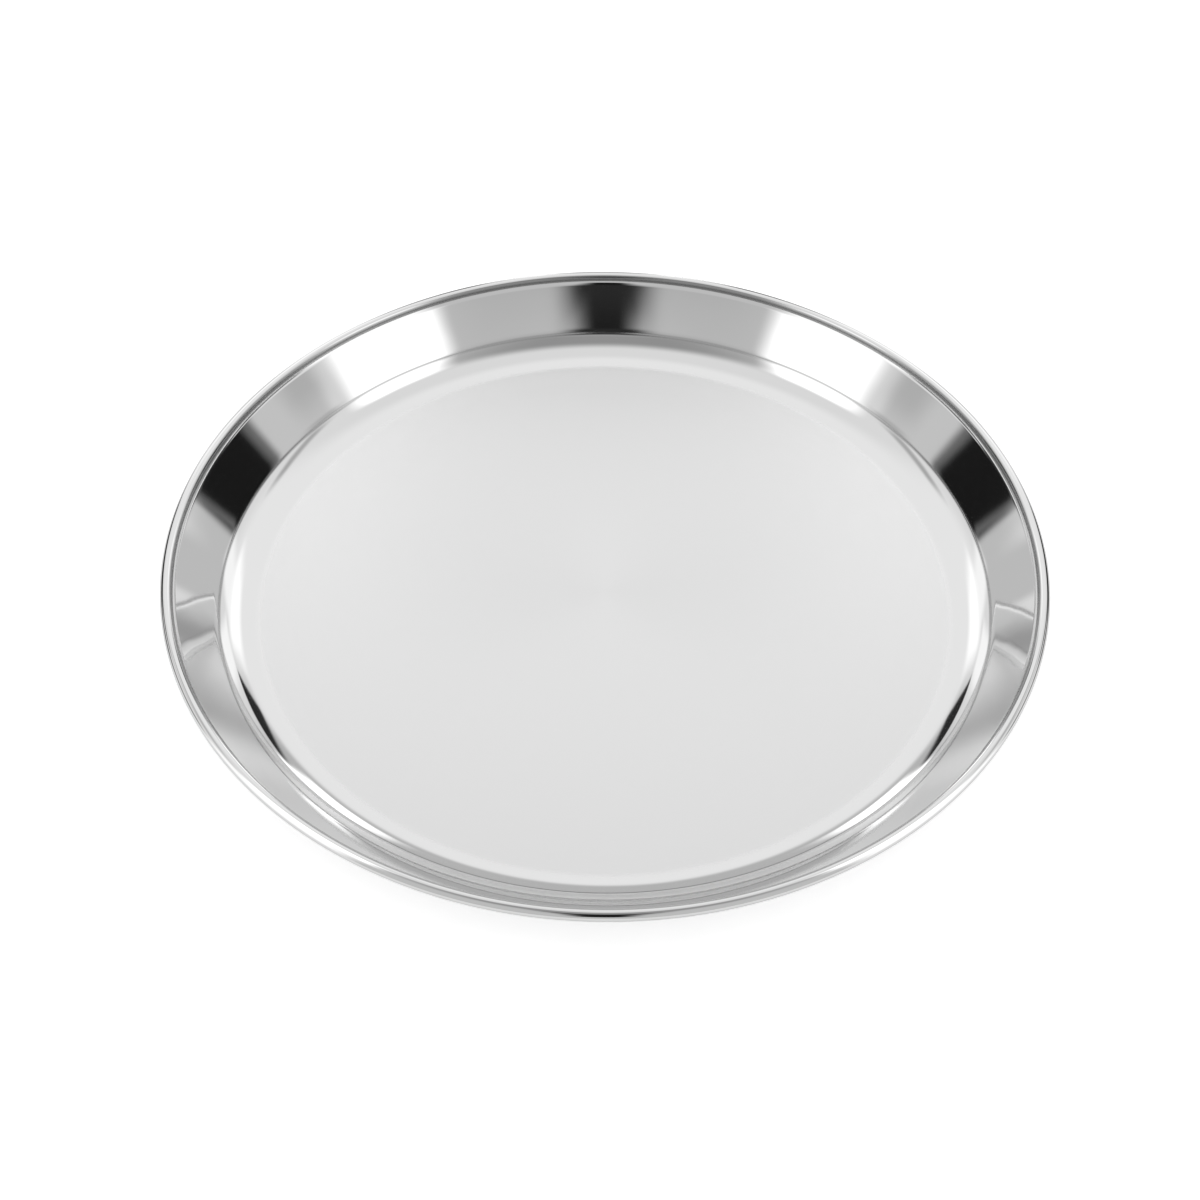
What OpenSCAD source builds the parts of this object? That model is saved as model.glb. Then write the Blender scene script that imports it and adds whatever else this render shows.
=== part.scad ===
// Round plate pressed from one disc of stainless steel sheet.
// The centre is flat, a cove leads up to a straight sloping wall, and the edge is curled outwards
// and under into a hollow bead. The underside of the centre is what the plate rests on.

/* [Plate] */
// Outer diameter, over the bead
plate_d = 280; // [240:5:340]
// Height from the table to the top of the bead
plate_h = 22.5; // [20:0.5:28]
// Thickness of the steel sheet
sheet_t = 0.7; // [0.4:0.1:1]

/* [Cove] */
// Radius of the cove round the flat centre, on the upper face
cove_r = 19; // [12:0.5:28]
// Slope of the cove where it meets the wall, in degrees from level
cove_slope = 44; // [32:1:46]

/* [Wall] */
// Slope of the wall, in degrees from level
wall_slope = 48; // [46:1:54]
// Slope of the fine step in the crease between cove and wall
step_slope = 60; // [56:1:70]
// Radius of the two tight bends of that step, on the upper face
step_r = 1.2; // [1.1:0.1:2]

/* [Bead] */
// Radius of the hollow bend between wall and bead, on the upper face
neck_r = 3; // [1.5:0.1:4]
// Slope that this bend reaches where the bead begins
neck_slope = 80; // [70:1:88]
// Radius of the bead's crown, on the upper face
crown_r = 2.2; // [1.9:0.1:3]
// Slope down the outer side of the crown where the tighter curl takes over
curl_slope = 55; // [40:1:70]
// Radius of the curl that runs under the crown, on its outer face
curl_r = 1.6; // [1.5:0.1:1.9]
// Least slit left between the cut edge of the curl and the back of the neck
curl_gap = 0.4; // [0.2:0.1:0.6]

/* [Hidden] */
// Facets round the plate, and the widest turn of one facet along a wide and a tight bend
around = 180;
wide_turn = 4;
tight_turn = 8;
level = 0;
full_turn = 360;
quarter_turn = 90;

// The section is the path of the sheet's upper face, from the centre out. Each bend turns the face
// from one slope to the next, and slopes that fall outwards are negative. A bend's radius counts as
// positive where its middle lies above the sheet, and as negative where it lies below.
function square_to(slope) = [sin(slope), -cos(slope)];
function bend_run(radius, from, to) = radius * (square_to(to) - square_to(from));

curl_reach = curl_r + (crown_r - curl_r) * sin(curl_slope);
crown_middle = [plate_d / 2 - curl_reach, plate_h - crown_r];
curl_middle = crown_middle - (crown_r - curl_r) * square_to(-curl_slope);

// How far each bend between the flat centre and the middle of the crown runs out and up
cove_run = bend_run(cove_r, level, cove_slope);
step_run = bend_run(step_r, cove_slope, step_slope) + bend_run(-step_r, step_slope, wall_slope);
neck_run = bend_run(neck_r, wall_slope, neck_slope) + crown_r * square_to(neck_slope);

// The straight wall makes up the rest of the height, and the flat centre the rest of the width
wall_h = crown_middle[1] - sheet_t - cove_run[1] - step_run[1] - neck_run[1];
wall_run = [wall_h / tan(wall_slope), wall_h];
wall_top = crown_middle - neck_run;
floor_edge = wall_top - wall_run - step_run - cove_run;

// Middles of the other bends
cove_middle = floor_edge - cove_r * square_to(level);
foot_middle = cove_middle + (cove_r - step_r) * square_to(cove_slope);
ease_middle = foot_middle + (step_r + step_r) * square_to(step_slope);
neck_middle = wall_top - neck_r * square_to(wall_slope);

// The curl goes on round until its cut edge is a slit away from the back of the neck, or as near as
// it comes
to_neck = neck_middle - curl_middle;
slit_reach = neck_r + sheet_t + curl_gap;
open_share = (to_neck * to_neck + curl_r ^ 2 - slit_reach ^ 2) / (2 * norm(to_neck) * curl_r);
open_angle = acos(min(1, open_share));
neck_bearing = atan2(to_neck[1], to_neck[0]) - full_turn;
cut_slope = neck_bearing + open_angle - quarter_turn;

// Points along a bend, without its first, which ends the stretch before it
function bend_points(middle, radius, from, to, widest) =
    let (steps = ceil(abs(to - from) / widest))
    [for (i = [1:steps]) middle + radius * square_to(from + (to - from) * i / steps)];

// One face of the sheet, at a depth below the upper face
function face(depth) = concat(
    [[0, sheet_t - depth]],
    [floor_edge + depth * square_to(level)],
    bend_points(cove_middle, cove_r + depth, level, cove_slope, wide_turn),
    bend_points(foot_middle, step_r + depth, cove_slope, step_slope, tight_turn),
    bend_points(ease_middle, depth - step_r, step_slope, wall_slope, tight_turn),
    [wall_top + depth * square_to(wall_slope)],
    bend_points(neck_middle, neck_r + depth, wall_slope, neck_slope, tight_turn),
    bend_points(crown_middle, depth - crown_r, neck_slope, -curl_slope, tight_turn),
    bend_points(curl_middle, depth - curl_r, -curl_slope, cut_slope, tight_turn)
);

function reversed(points) = [for (i = [len(points) - 1:-1:0]) points[i]];

module plate() {
    color("silver")
        rotate_extrude($fn = around)
            polygon(concat(face(0), reversed(face(sheet_t))));
}

plate();
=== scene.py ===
import math

import bpy
from mathutils import Matrix, Vector


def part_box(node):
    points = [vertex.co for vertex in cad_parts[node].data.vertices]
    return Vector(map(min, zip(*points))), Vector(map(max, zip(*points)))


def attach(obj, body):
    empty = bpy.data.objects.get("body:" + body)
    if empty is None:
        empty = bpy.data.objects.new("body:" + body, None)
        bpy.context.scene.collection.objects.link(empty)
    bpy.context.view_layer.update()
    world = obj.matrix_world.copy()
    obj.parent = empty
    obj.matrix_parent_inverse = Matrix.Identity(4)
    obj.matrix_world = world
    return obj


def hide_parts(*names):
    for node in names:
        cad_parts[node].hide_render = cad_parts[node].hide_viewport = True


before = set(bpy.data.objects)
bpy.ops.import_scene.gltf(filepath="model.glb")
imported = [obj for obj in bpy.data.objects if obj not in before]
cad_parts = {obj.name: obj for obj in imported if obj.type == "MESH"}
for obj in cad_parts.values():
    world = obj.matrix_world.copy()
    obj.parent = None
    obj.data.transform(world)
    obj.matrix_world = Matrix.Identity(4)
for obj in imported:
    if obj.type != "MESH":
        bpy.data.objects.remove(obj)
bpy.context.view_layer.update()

mm = 0.001
quarterTurn = 90
fullTurn = 360
white = (1, 1, 1, 1)
scene = bpy.context.scene


# Node helpers

def feed(tree, socket, value):
    if isinstance(value, bpy.types.NodeSocket):
        tree.links.new(value, socket)
    else:
        socket.default_value = value


def addNode(tree, kind, inputs=None, **settings):
    node = tree.nodes.new(kind)
    for name, value in settings.items():
        setattr(node, name, value)
    for name, value in (inputs or {}).items():
        feed(tree, node.inputs[name], value)
    return node


def addMath(tree, operation, *values):
    node = addNode(tree, "ShaderNodeMath", operation=operation)
    for socket, value in zip(node.inputs, values):
        feed(tree, socket, value)
    return node.outputs[0]


def addFade(tree, value, start, end, low=0.0, high=1.0):
    node = addNode(tree, "ShaderNodeMapRange", {
        "Value": value, "From Min": start, "From Max": end, "To Min": low, "To Max": high,
    }, interpolation_type="SMOOTHSTEP")
    return node.outputs[0]


def addBlend(tree, factor, base, over):
    # inputs 6 and 7 and output 2 are the node's colours
    node = addNode(tree, "ShaderNodeMix", {0: factor, 6: base, 7: over}, data_type="RGBA")
    return node.outputs[2]


def grey(value):
    return (value, value, value, 1)


def newGroup(kind, name, inputs, outputs):
    group = bpy.data.node_groups.new(name, kind)
    for label, socketType in inputs:
        group.interface.new_socket(label, in_out="INPUT", socket_type=socketType)
    for label, socketType in outputs:
        group.interface.new_socket(label, in_out="OUTPUT", socket_type=socketType)
    return group, group.nodes.new("NodeGroupInput").outputs, group.nodes.new("NodeGroupOutput").inputs


# Section of the pressed sheet

plate = {
    "sheet": 0.7 * mm,
    "coveRadius": 19 * mm,
    "coveSlope": 44,  # degrees from level, as all slopes
    "wallSlope": 48,
    "footEase": 3,  # how much flatter the wall starts
    "footEaseRun": 2 * mm,  # the length over which it straightens
    "stepSlope": 60,
    "stepRadius": 1.2 * mm,
    "neckRadius": 3.6 * mm,
    "neckSlope": 80,
    "crownRadius": 1.9 * mm,
    "curlSlope": 55,
    "curlRadius": 1.6 * mm,
    "curlGap": 0.4 * mm,
    "coveTurn": 1.5,  # widest turn of one facet, in degrees
    "stepTurn": 3,
    "beadTurn": 4.5,
    "easeSteps": 8,
    "guardRing": 0.15 * mm,  # a last narrow ring keeps the shading of centre and wall straight to their ends
    "segments": 320,  # round the plate
    "weld": 0.001 * mm,  # closes the middle
}


def alongSlope(slope):
    turn = math.radians(slope)
    return Vector((math.cos(turn), math.sin(turn)))


def squareTo(slope):
    turn = math.radians(slope)
    return Vector((math.sin(turn), -math.cos(turn)))


def bendRun(radius, start, end):
    return radius * (squareTo(end) - squareTo(start))


def bendPoints(middle, radius, start, end, widest):
    steps = math.ceil(abs(end - start) / widest)
    return [middle + radius * squareTo(start + (end - start) * i / steps) for i in range(1, steps + 1)]


def wallPath(p, rise):
    # from the wall's foot to its top, and the slope at each point
    steps = p["easeSteps"]
    slopes = [p["wallSlope"] - p["footEase"] * (1 - i / steps) ** 2 for i in range(steps + 1)]
    points = [Vector((0, 0))]
    for start, end in zip(slopes, slopes[1:]):
        points.append(points[-1] + p["footEaseRun"] / steps * alongSlope((start + end) / 2))
    straight = alongSlope(p["wallSlope"])
    top = points[-1] + (rise - points[-1].y) / straight.y * straight
    return points + [top - p["guardRing"] * straight, top], slopes + [p["wallSlope"]] * 2


def plateSection(p, width, height):
    sheet = p["sheet"]
    cove = p["coveRadius"]
    step = p["stepRadius"]
    neck = p["neckRadius"]
    crown = p["crownRadius"]
    curl = p["curlRadius"]
    level = 0
    coveSlope = p["coveSlope"]
    stepSlope = p["stepSlope"]
    footSlope = p["wallSlope"] - p["footEase"]
    wallSlope = p["wallSlope"]
    neckSlope = p["neckSlope"]
    curlSlope = -p["curlSlope"]  # slopes that fall outwards are negative

    # the bead's place comes from the outer size, the wall takes the rest of the height and the flat
    # centre the rest of the width
    curlReach = curl + (crown - curl) * math.sin(math.radians(-curlSlope))
    crownMiddle = Vector((width / 2 - curlReach, height - crown))
    curlMiddle = crownMiddle - (crown - curl) * squareTo(curlSlope)
    coveRun = bendRun(cove, level, coveSlope)
    stepRun = bendRun(step, coveSlope, stepSlope) + bendRun(-step, stepSlope, footSlope)
    neckRun = bendRun(neck, wallSlope, neckSlope) + crown * squareTo(neckSlope)
    wallPoints, wallSlopes = wallPath(p, crownMiddle.y - sheet - coveRun.y - stepRun.y - neckRun.y)
    wallTop = crownMiddle - neckRun
    floorEdge = wallTop - wallPoints[-1] - stepRun - coveRun

    coveMiddle = floorEdge - cove * squareTo(level)
    footMiddle = coveMiddle + (cove - step) * squareTo(coveSlope)
    easeMiddle = footMiddle + 2 * step * squareTo(stepSlope)
    wallFoot = easeMiddle - step * squareTo(footSlope)
    neckMiddle = wallTop - neck * squareTo(wallSlope)

    # the curl goes on round until its cut edge is a slit away from the back of the neck
    toNeck = neckMiddle - curlMiddle
    slitReach = neck + sheet + p["curlGap"]
    openShare = (toNeck.length_squared + curl ** 2 - slitReach ** 2) / (2 * toNeck.length * curl)
    neckBearing = math.degrees(math.atan2(toNeck.y, toNeck.x)) - fullTurn
    cutSlope = neckBearing + math.degrees(math.acos(min(1, openShare))) - quarterTurn

    guard = Vector((p["guardRing"], 0))

    def face(depth):
        floorEnd = floorEdge + depth * squareTo(level)
        points = [Vector((0, sheet - depth)), floorEnd - guard, floorEnd]
        points += bendPoints(coveMiddle, cove + depth, level, coveSlope, p["coveTurn"])
        points += bendPoints(footMiddle, step + depth, coveSlope, stepSlope, p["stepTurn"])
        points += bendPoints(easeMiddle, depth - step, stepSlope, footSlope, p["stepTurn"])
        points += [wallFoot + spot + depth * squareTo(slope)
                   for spot, slope in zip(wallPoints[1:], wallSlopes[1:])]
        points += bendPoints(neckMiddle, neck + depth, wallSlope, neckSlope, p["beadTurn"])
        points += bendPoints(crownMiddle, depth - crown, neckSlope, curlSlope, p["beadTurn"])
        points += bendPoints(curlMiddle, depth - curl, curlSlope, cutSlope, p["beadTurn"])
        return points

    stepSpot = footMiddle + step * squareTo(stepSlope)
    neckSpot = crownMiddle - crown * squareTo(neckSlope)
    return face(0) + face(sheet)[::-1], floorEdge.x, stepSpot, neckSpot


lowest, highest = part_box("plate")
plateWidth = highest.x - lowest.x
plateHeight = highest.z - lowest.z
section, floorRadius, stepSpot, neckSpot = plateSection(plate, plateWidth, plateHeight)
print(f"section: {len(section)} points, flat centre {2 * floorRadius / mm:.1f} mm across")


# Steel

steel = {
    "colour": (0.78, 0.78, 0.78, 1),
    "satinRoughness": 0.32,
    "coveRoughness": 0.3,  # where the cove starts
    "wallRoughness": 0.045,
    "brushing": 0.3,
    "satinEdge": 1.2 * mm,  # how far the satin fades on either side of the flat centre's edge
    "coveFade": 4 * mm,  # how far up the cove its polish is complete
    "grainPitch": 0.35 * mm,
    "grainBreaks": 12,  # how soon a ring of grain changes on its way round
    "grainDepth": 0.00015 * mm,
    "grainShare": 0.12,  # of the roughness
    "grainLow": 0.2,  # the noise at which that share is taken off, and the noise at which it is added
    "grainHigh": 0.8,
    "waveLength": 14 * mm,
    "waveDepth": 0.02 * mm,
    "creasePaintedShade": 0.33,  # painted shade: share of its colour that the steel keeps in the crease beside the bead, standing in for the dark reflections of the crease
    "creaseInside": 0.25 * mm,  # how far that spreads inwards and outwards
    "creaseOutside": 1.15 * mm,
    "creaseLean": 55,  # slope of the face where it darkens, in degrees
    "creaseFull": 0.25,  # below the upper face, as shares of the sheet: where it starts to fade
    "creaseGone": 0.75,  # and where it has gone, so that the underside keeps no painted shade
    "creaseRoughness": 0.2,
    "stepPaintedShade": 0.6,  # how much of that painted shade the crease at the wall's foot has
    "stepInside": 0.7 * mm,
    "stepOutside": 0.5 * mm,
}


def makeGrainGroup():
    # rings of fine grain round the Z axis
    group, given, result = newGroup("ShaderNodeTree", "circularGrain", [
        ("Place", "NodeSocketVector"),
        ("Pitch", "NodeSocketFloat"),
        ("Breaks", "NodeSocketFloat"),
    ], [("Grain", "NodeSocketFloat"), ("Radius", "NodeSocketFloat")])
    place = addNode(group, "ShaderNodeSeparateXYZ", {0: given["Place"]}).outputs
    flat = addNode(group, "ShaderNodeCombineXYZ", {"X": place["X"], "Y": place["Y"]}).outputs[0]
    radius = addNode(group, "ShaderNodeVectorMath", {0: flat}, operation="LENGTH").outputs["Value"]
    outwards = addNode(group, "ShaderNodeVectorMath", {0: flat}, operation="NORMALIZE").outputs[0]
    spread = addNode(group, "ShaderNodeVectorMath", {
        0: outwards, "Scale": given["Breaks"],
    }, operation="SCALE").outputs[0]
    turn = addNode(group, "ShaderNodeSeparateXYZ", {0: spread}).outputs
    rings = addNode(group, "ShaderNodeCombineXYZ", {
        "X": turn["X"], "Y": turn["Y"], "Z": addMath(group, "DIVIDE", radius, given["Pitch"]),
    }).outputs[0]
    noise = addNode(group, "ShaderNodeTexNoise", {
        "Vector": rings, "Scale": 1.0, "Detail": 3.0, "Roughness": 0.6,
    }).outputs[0]
    feed(group, result["Grain"], noise)
    feed(group, result["Radius"], radius)
    return group


def makeSteel(values):
    material = bpy.data.materials.new("steel")
    material.use_nodes = True
    tree = material.node_tree
    tree.nodes.clear()
    place = addNode(tree, "ShaderNodeTexCoord").outputs["Object"]
    level = addNode(tree, "ShaderNodeSeparateXYZ", {0: place}).outputs["Z"]
    rings = addNode(tree, "ShaderNodeGroup", {
        "Place": place, "Pitch": values["grainPitch"], "Breaks": values["grainBreaks"],
    }, node_tree=makeGrainGroup()).outputs
    grain = rings["Grain"]
    radius = rings["Radius"]
    waves = addNode(tree, "ShaderNodeTexNoise", {
        "Vector": place, "Scale": 1 / values["waveLength"], "Detail": 1.0,
    }).outputs[0]

    def addCrease(spot, slope, inside, outside):
        # a ring of painted shade and extra roughness on the upper face only: depth is measured square to the
        # face at the spot
        square = squareTo(slope)
        across = addMath(tree, "MULTIPLY", addMath(tree, "SUBTRACT", radius, spot.x), square.x)
        above = addMath(tree, "SUBTRACT", level, spot.y)
        depth = addMath(tree, "MULTIPLY_ADD", above, square.y, across)
        full = values["creaseFull"] * plate["sheet"]
        gone = values["creaseGone"] * plate["sheet"]
        upper = addFade(tree, depth, full, gone, 1, 0)
        rising = addFade(tree, radius, spot.x - inside, spot.x)
        falling = addFade(tree, radius, spot.x, spot.x + outside, 1, 0)
        return addMath(tree, "MULTIPLY", upper, addMath(tree, "MULTIPLY", rising, falling))

    satin = addFade(tree, radius, floorRadius - values["satinEdge"], floorRadius + values["satinEdge"], 1, 0)
    cove = addFade(tree, radius, floorRadius, floorRadius + values["coveFade"], 1, 0)
    # painted shade, with more roughness, in the crease beside the bead and in the crease at the wall's foot
    neck = addCrease(neckSpot, values["creaseLean"], values["creaseInside"], values["creaseOutside"])
    step = addCrease(stepSpot, plate["stepSlope"], values["stepInside"], values["stepOutside"])
    crease = addMath(tree, "MULTIPLY_ADD", step, values["stepPaintedShade"], neck)
    rough = addMath(tree, "MULTIPLY_ADD", cove, values["coveRoughness"] - values["wallRoughness"],
                    values["wallRoughness"])
    rough = addMath(tree, "MULTIPLY_ADD", satin, values["satinRoughness"] - values["coveRoughness"], rough)
    rough = addMath(tree, "MULTIPLY_ADD", crease, values["creaseRoughness"] - values["wallRoughness"], rough)
    share = values["grainShare"]
    spread = addFade(tree, grain, values["grainLow"], values["grainHigh"], 1 - share, 1 + share)
    rough = addMath(tree, "MULTIPLY", rough, spread)

    # painted shade: the creases darken the steel's colour, standing in for the dark reflections there
    paintedShadeColour = tuple(values["creasePaintedShade"] * c for c in values["colour"][:3]) + (1,)
    colour = addBlend(tree, crease, values["colour"], paintedShadeColour)

    grooves = addMath(tree, "MULTIPLY", grain, addMath(tree, "MULTIPLY", satin, values["grainDepth"]))
    height = addMath(tree, "MULTIPLY_ADD", waves, values["waveDepth"], grooves)
    bump = addNode(tree, "ShaderNodeBump", {"Strength": 1.0, "Distance": 1.0, "Height": height}).outputs[0]
    tangent = addNode(tree, "ShaderNodeTangent", direction_type="RADIAL", axis="Z").outputs[0]
    shader = addNode(tree, "ShaderNodeBsdfPrincipled", {
        "Base Color": colour, "Metallic": 1.0, "Roughness": rough,
        "Anisotropic": values["brushing"], "Tangent": tangent, "Normal": bump,
    })
    addNode(tree, "ShaderNodeOutputMaterial", {"Surface": shader.outputs[0]})
    return material


steelMaterial = makeSteel(steel)
print("steel: ready")


# Revolved plate

def makeRevolveTree():
    tree, given, result = newGroup("GeometryNodeTree", "revolvedSheet", [
        ("Section", "NodeSocketGeometry"),
        ("Segments", "NodeSocketInt"),
        ("Rail Radius", "NodeSocketFloat"),
        ("Weld Distance", "NodeSocketFloat"),
        ("Material", "NodeSocketMaterial"),
    ], [("Plate", "NodeSocketGeometry")])
    outline = addNode(tree, "GeometryNodeMeshToCurve", {"Mesh": given["Section"]}).outputs[0]
    inwards = addMath(tree, "MULTIPLY", given["Rail Radius"], -1.0)
    shift = addNode(tree, "ShaderNodeCombineXYZ", {"X": inwards}).outputs[0]
    laid = addNode(tree, "GeometryNodeTransform", {
        "Geometry": outline, "Translation": shift, "Rotation": (math.radians(quarterTurn), 0, 0),
    }).outputs[0]
    rail = addNode(tree, "GeometryNodeCurvePrimitiveCircle", {
        "Resolution": given["Segments"], "Radius": given["Rail Radius"],
    }).outputs[0]
    swept = addNode(tree, "GeometryNodeCurveToMesh", {"Curve": rail, "Profile Curve": laid}).outputs[0]
    welded = addNode(tree, "GeometryNodeMergeByDistance", {
        "Geometry": swept, "Distance": given["Weld Distance"],
    }).outputs[0]
    smooth = addNode(tree, "GeometryNodeSetShadeSmooth", {
        "Geometry": welded, "Shade Smooth": True,
    }).outputs[0]
    realized = addNode(tree, "GeometryNodeRealizeInstances", {"Geometry": smooth}).outputs[0]
    painted = addNode(tree, "GeometryNodeSetMaterial", {
        "Geometry": realized, "Material": given["Material"],
    }).outputs[0]
    feed(tree, result["Plate"], painted)
    return tree


def setInput(modifier, label, value):
    sockets = modifier.node_group.interface.items_tree
    socket = next(s for s in sockets if s.name == label and s.in_out == "INPUT")
    modifier[socket.identifier] = value


def bakeModifiers(source, name):
    scene.collection.objects.link(source)
    ready = source.evaluated_get(bpy.context.evaluated_depsgraph_get())
    mesh = bpy.data.meshes.new_from_object(ready)
    source.modifiers.clear()
    bpy.data.objects.remove(source)
    mesh.name = name
    made = bpy.data.objects.new(name, mesh)
    scene.collection.objects.link(made)
    return made


def makePlate():
    outline = bpy.data.meshes.new("sheetSection")
    count = len(section)
    edges = [(i, (i + 1) % count) for i in range(count)]
    outline.from_pydata([(p.x, 0, p.y) for p in section], edges, [])
    source = bpy.data.objects.new("sheetSection", outline)
    modifier = source.modifiers.new("revolve", "NODES")
    modifier.node_group = makeRevolveTree()
    setInput(modifier, "Segments", plate["segments"])
    setInput(modifier, "Rail Radius", plateWidth / 2)
    setInput(modifier, "Weld Distance", plate["weld"])
    setInput(modifier, "Material", steelMaterial)
    return bakeModifiers(source, "pressedPlate")


pressedPlate = makePlate()
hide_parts("plate")
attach(pressedPlate, "root")
print(f"plate: {len(pressedPlate.data.polygons)} faces")


# Floor

floorValues = {
    "radius": 3.0,
    "sides": 96,
    "below": 0.05 * mm,  # under the plate
    "colour": 0.8,
    "glow": 0.5,  # what the camera sees on top of the light that falls on it
    "glowInSteel": 0.1,  # what reflections see on top of it
}


def makeFloor(values):
    material = bpy.data.materials.new("tabletop")
    material.use_nodes = True
    tree = material.node_tree
    tree.nodes.clear()
    diffuse = addNode(tree, "ShaderNodeBsdfDiffuse", {"Color": grey(values["colour"])}).outputs[0]
    path = addNode(tree, "ShaderNodeLightPath").outputs
    inSteel = addMath(tree, "MULTIPLY", path["Is Glossy Ray"], values["glowInSteel"])
    strength = addMath(tree, "MULTIPLY_ADD", path["Is Camera Ray"], values["glow"], inSteel)
    glow = addNode(tree, "ShaderNodeEmission", {"Color": white, "Strength": strength}).outputs[0]
    both = addNode(tree, "ShaderNodeAddShader", {0: diffuse, 1: glow}).outputs[0]
    addNode(tree, "ShaderNodeOutputMaterial", {"Surface": both})

    sides = values["sides"]
    level = lowest.z - values["below"]
    ring = [(values["radius"] * math.cos(2 * math.pi * i / sides),
             values["radius"] * math.sin(2 * math.pi * i / sides), level) for i in range(sides)]
    mesh = bpy.data.meshes.new("floor")
    mesh.from_pydata(ring, [], [tuple(range(sides))])
    mesh.materials.append(material)
    floor = bpy.data.objects.new("floor", mesh)
    scene.collection.objects.link(floor)


makeFloor(floorValues)
print("floor: ready")


# Studio that the steel reflects: the inside of a round tent, which only reflections see

tent = {
    "radius": 0.6,
    "rings": 32,
    "sectors": 64,
    "level": 20.6 * mm,  # of its middle
    "back": 215,  # how bright it shows in the steel, from 0 to 255, where no card is
    "front": 186,
    "backEnd": 0.05,  # back turns into front between these, as shares of the way towards the back
    "frontStart": -0.25,
    "cardLimit": 0.05,  # a card ends where the cosine of the angle from its middle falls to this
}

# Directions are seen from the tent's middle: azimuth 0 is right, 90 behind and 270 towards the camera.
# Sizes and soft edges are in degrees at a card's middle, and taper narrows its upper end. The left half
# mirrors the right one.
cards = [
    # name, shown, azimuth, elevation, half width, half height, roll, taper, side edge, end edge
    ("backLight", 228, 90, 46, 42, 16, 0, 0, 30, 16),
    ("ceiling", 142, 270, 74, 26, 16, 0, 0, 36, 20),
    ("backLow", 176, 90, 15, 13, 14, 0, 0, 10, 10),
    ("lowSide", 95, 28, 5, 16, 8, 0, 0, 10, 8),
    ("lowFront", 100, 4, 8, 14, 5, 0, 0, 8, 4),
    ("lowerBox", 255, 338, 22, 17, 25, 0, 0.3, 10, 8),
    ("softBox", 290, 352.5, 54, 9.6, 17.5, -38, 0.4, 7, 9),
    ("lightBand", 192, 16, 31, 12, 4.5, -30, 0, 4, 3),
    ("sideGrey", 172, 8.5, 37, 4.6, 4.5, -30, 0, 7, 3),
    ("sideShade", 165, 27, 43, 10, 3, 0, 0, 9, 5),
    ("flagFoot", 40, 33, 12, 9, 5, 0, 0, 4, 3),
    ("greyFlag", 100, 31, 20.5, 11.5, 4.4, -32, 0, 3, 2),
    ("blackFlag", 24, 31.5, 20.5, 9, 3.6, -38, 0, 3, 2),
    ("sideLow", 185, 51, 9, 10, 4.5, -32, 0, 3, 2),
    ("lowBox", 245, 66, 12, 4.6, 7.5, 0, 0, 4, 4),
    ("lobe", 244, 53, 22, 5.2, 10, -50, 0, 5, 6),
    ("backBox", 260, 68.5, 33, 6.6, 8, -55, 0.4, 6, 8),
    ("triangle", 40, 75.8, 19.5, 4.8, 4.6, 90, 0.95, 2, 2),
    ("streak", 300, 83.8, 13, 2.4, 10, -14, 0.4, 2, 5),
    ("backFoot", 110, 90, 1, 20, 4.5, 0, 0, 16, 4),
    ("shadeSide", 156, 270, 52, 9, 13, 0, 0, 10, 8),
    ("cameraShade", 26, 270, 42, 5.5, 21, 0, 0, 6, 4),
    ("shadeTop", 40, 270, 57.5, 8, 4.5, 0, 0, 8, 4),
]


# How a screen turns its greys into light
screen = {
    "whitest": 255,
    "toe": 0.04045,
    "toeSlope": 12.92,
    "offset": 0.055,
    "power": 2.4,
}


def lightFor(shown):
    # the light that polished steel shows as this grey
    share = shown / screen["whitest"]
    if share > screen["toe"]:
        linear = ((share + screen["offset"]) / (1 + screen["offset"])) ** screen["power"]
    else:
        linear = share / screen["toeSlope"]
    return linear / steel["colour"][0]


def makeCardGroup(limit):
    group, given, result = newGroup("ShaderNodeTree", "studioCard", [
        ("Direction", "NodeSocketVector"),
        ("Ahead", "NodeSocketVector"),
        ("Aside", "NodeSocketVector"),
        ("Up", "NodeSocketVector"),
        ("Half Width", "NodeSocketFloat"),
        ("Half Height", "NodeSocketFloat"),
        ("Taper", "NodeSocketFloat"),
        ("Side Edge", "NodeSocketFloat"),
        ("End Edge", "NodeSocketFloat"),
    ], [("Mask", "NodeSocketFloat")])

    def share(axis):
        return addNode(group, "ShaderNodeVectorMath", {
            0: given["Direction"], 1: given[axis],
        }, operation="DOT_PRODUCT").outputs["Value"]

    def within(offset, half, edge):
        inside = addMath(group, "SUBTRACT", half, addMath(group, "ABSOLUTE", offset))
        soft = addMath(group, "MULTIPLY", edge, 0.5)
        return addFade(group, inside, addMath(group, "MULTIPLY", soft, -1.0), soft)

    facing = share("Ahead")
    ahead = addMath(group, "MAXIMUM", facing, limit)
    across = addMath(group, "DEGREES", addMath(group, "DIVIDE", share("Aside"), ahead))
    along = addMath(group, "DEGREES", addMath(group, "DIVIDE", share("Up"), ahead))
    climb = addMath(group, "DIVIDE", along, given["Half Height"])
    narrowed = addMath(group, "MULTIPLY", climb, given["Taper"])
    half = addMath(group, "MULTIPLY", given["Half Width"], addMath(group, "SUBTRACT", 1.0, narrowed))
    mask = addMath(group, "MULTIPLY", within(across, half, given["Side Edge"]),
                   within(along, given["Half Height"], given["End Edge"]))
    mask = addMath(group, "MULTIPLY", mask, addMath(group, "GREATER_THAN", facing, limit))
    feed(group, result["Mask"], mask)
    return group


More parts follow.
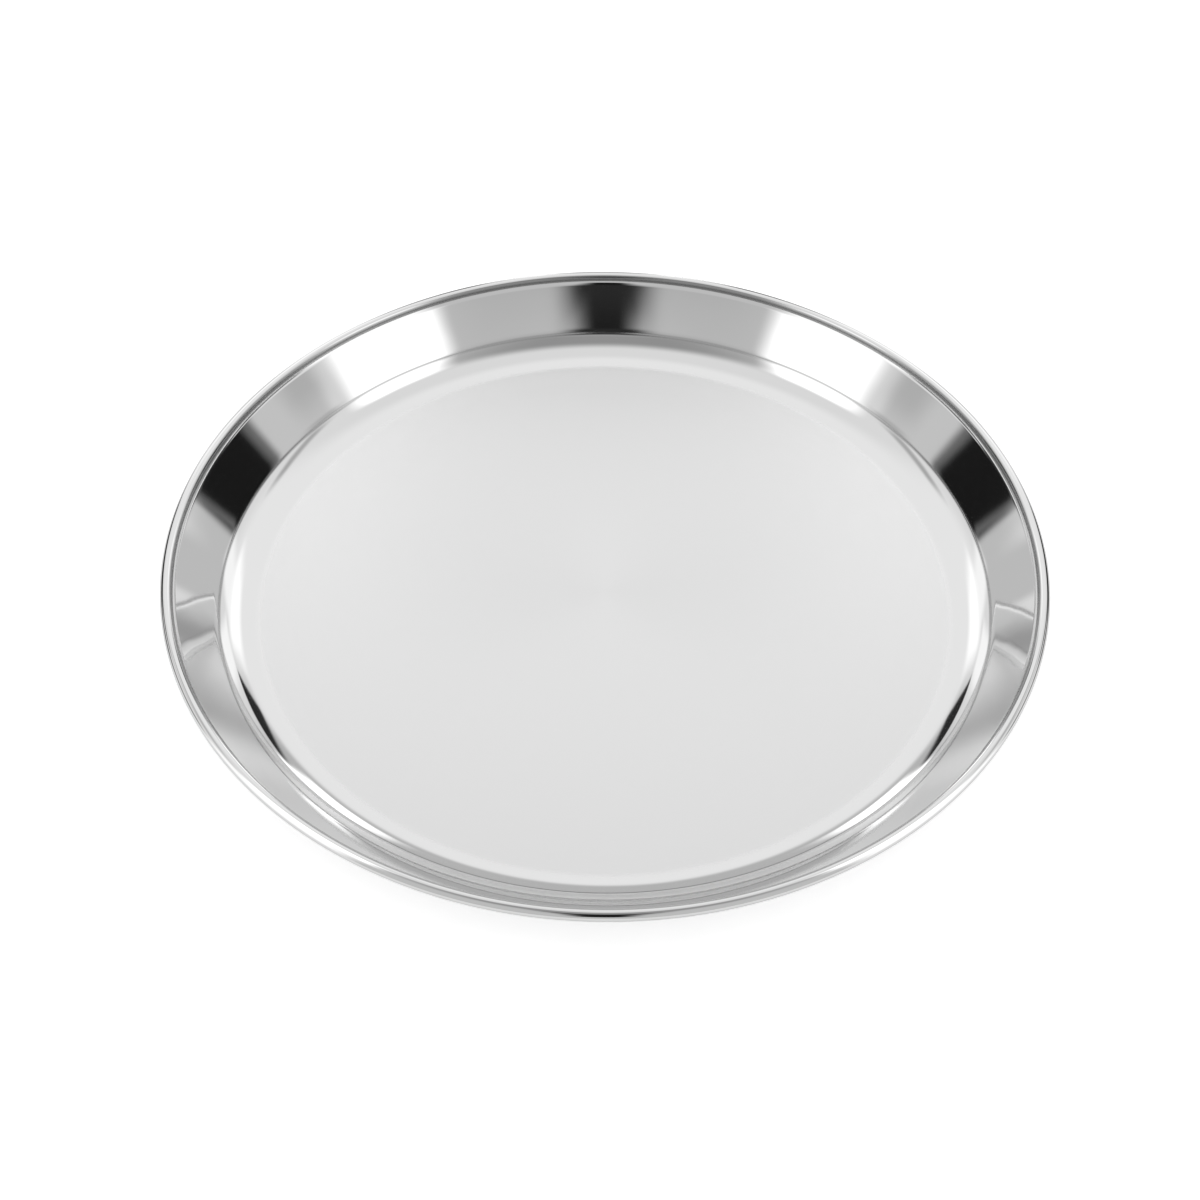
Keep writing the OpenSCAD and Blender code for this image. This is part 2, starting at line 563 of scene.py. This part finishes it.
def makeTentMaterial(values):
    material = bpy.data.materials.new("studioTent")
    material.use_nodes = True
    tree = material.node_tree
    tree.nodes.clear()
    place = addNode(tree, "ShaderNodeTexCoord").outputs["Object"]
    direction = addNode(tree, "ShaderNodeVectorMath", {0: place}, operation="NORMALIZE").outputs[0]
    x, y, z = addNode(tree, "ShaderNodeSeparateXYZ", {0: direction}).outputs
    # left and right are alike, so both read the right half
    folded = addNode(tree, "ShaderNodeCombineXYZ", {
        "X": addMath(tree, "ABSOLUTE", x), "Y": y, "Z": z,
    }).outputs[0]

    def turned(degrees, axis):
        return Matrix.Rotation(math.radians(degrees), 3, axis)

    front = addFade(tree, y, values["backEnd"], values["frontStart"])
    colour = addBlend(tree, front, grey(lightFor(values["back"])), grey(lightFor(values["front"])))
    group = makeCardGroup(values["cardLimit"])
    for name, shown, azimuth, elevation, halfWidth, halfHeight, roll, taper, side, end in cards:
        stand = turned(azimuth, "Z") @ turned(-elevation, "Y") @ turned(roll, "X")
        mask = addNode(tree, "ShaderNodeGroup", {
            "Direction": folded, "Ahead": stand.col[0], "Aside": stand.col[1], "Up": stand.col[2],
            "Half Width": halfWidth, "Half Height": halfHeight, "Taper": taper,
            "Side Edge": side, "End Edge": end,
        }, node_tree=group, label=name).outputs["Mask"]
        colour = addBlend(tree, mask, colour, grey(lightFor(shown)))
    glow = addNode(tree, "ShaderNodeEmission", {"Color": colour}).outputs[0]
    addNode(tree, "ShaderNodeOutputMaterial", {"Surface": glow})
    material.cycles.emission_sampling = "NONE"
    return material


def makeTent(values):
    rings, sectors, radius = values["rings"], values["sectors"], values["radius"]
    points = [(0, 0, radius)]
    for i in range(1, rings):
        drop = math.pi * i / rings
        points += [(radius * math.sin(drop) * math.cos(2 * math.pi * j / sectors),
                    radius * math.sin(drop) * math.sin(2 * math.pi * j / sectors),
                    radius * math.cos(drop)) for j in range(sectors)]
    points.append((0, 0, -radius))
    last = len(points) - 1
    foot = last - sectors
    faces = []
    for j in range(sectors):
        k = (j + 1) % sectors
        faces.append((0, 1 + k, 1 + j))
        faces.append((last, foot + j, foot + k))
        for i in range(rings - 2):
            upper = 1 + i * sectors
            lower = upper + sectors
            faces.append((upper + j, upper + k, lower + k, lower + j))
    mesh = bpy.data.meshes.new("tent")
    mesh.from_pydata(points, [], faces)
    mesh.materials.append(makeTentMaterial(values))
    body = bpy.data.objects.new("tent", mesh)
    body.location.z = values["level"]
    scene.collection.objects.link(body)
    body.visible_camera = False
    body.visible_diffuse = False
    body.visible_shadow = False
    body.visible_transmission = False
    body.visible_volume_scatter = False


def makeWorld():
    world = bpy.data.worlds.new("plainLight")
    scene.world = world
    world.use_nodes = True
    tree = world.node_tree
    tree.nodes.clear()
    light = addNode(tree, "ShaderNodeBackground", {"Color": white}).outputs[0]
    addNode(tree, "ShaderNodeOutputWorld", {"Surface": light})


makeTent(tent)
makeWorld()
print("studio: ready")


# Camera

camera = {
    "distance": 0.63,  # from the middle of the rim to the camera
    "rise": 45.95,  # degrees above the rim's plane, seen from there
    "rimHeight": 20.644 * mm,  # about the bead's widest level
    "aimNear": 0.1578,  # how far in front of the middle it is aimed, as a share of the plate's radius
    "aside": -1.55 * mm,
    "lens": 59.403,
    "sensor": 36.0,
    "roll": 0.454,  # degrees
    "nearest": 0.01,
}


def makeCamera(values):
    rise = math.radians(values["rise"])
    place = Vector((values["aside"], -values["distance"] * math.cos(rise),
                    values["rimHeight"] + values["distance"] * math.sin(rise)))
    aim = Vector((values["aside"], -values["aimNear"] * plateWidth / 2, values["rimHeight"]))
    data = bpy.data.cameras.new("camera")
    data.lens = values["lens"]
    data.sensor_width = values["sensor"]
    data.clip_start = values["nearest"]
    body = bpy.data.objects.new("camera", data)
    scene.collection.objects.link(body)
    turn = (aim - place).to_track_quat("-Z", "Y").to_matrix().to_4x4()
    roll = Matrix.Rotation(math.radians(values["roll"]), 4, "Z")
    body.matrix_world = Matrix.Translation(place) @ turn @ roll
    scene.camera = body


makeCamera(camera)
scene.view_settings.view_transform = "Standard"
print("camera: ready")
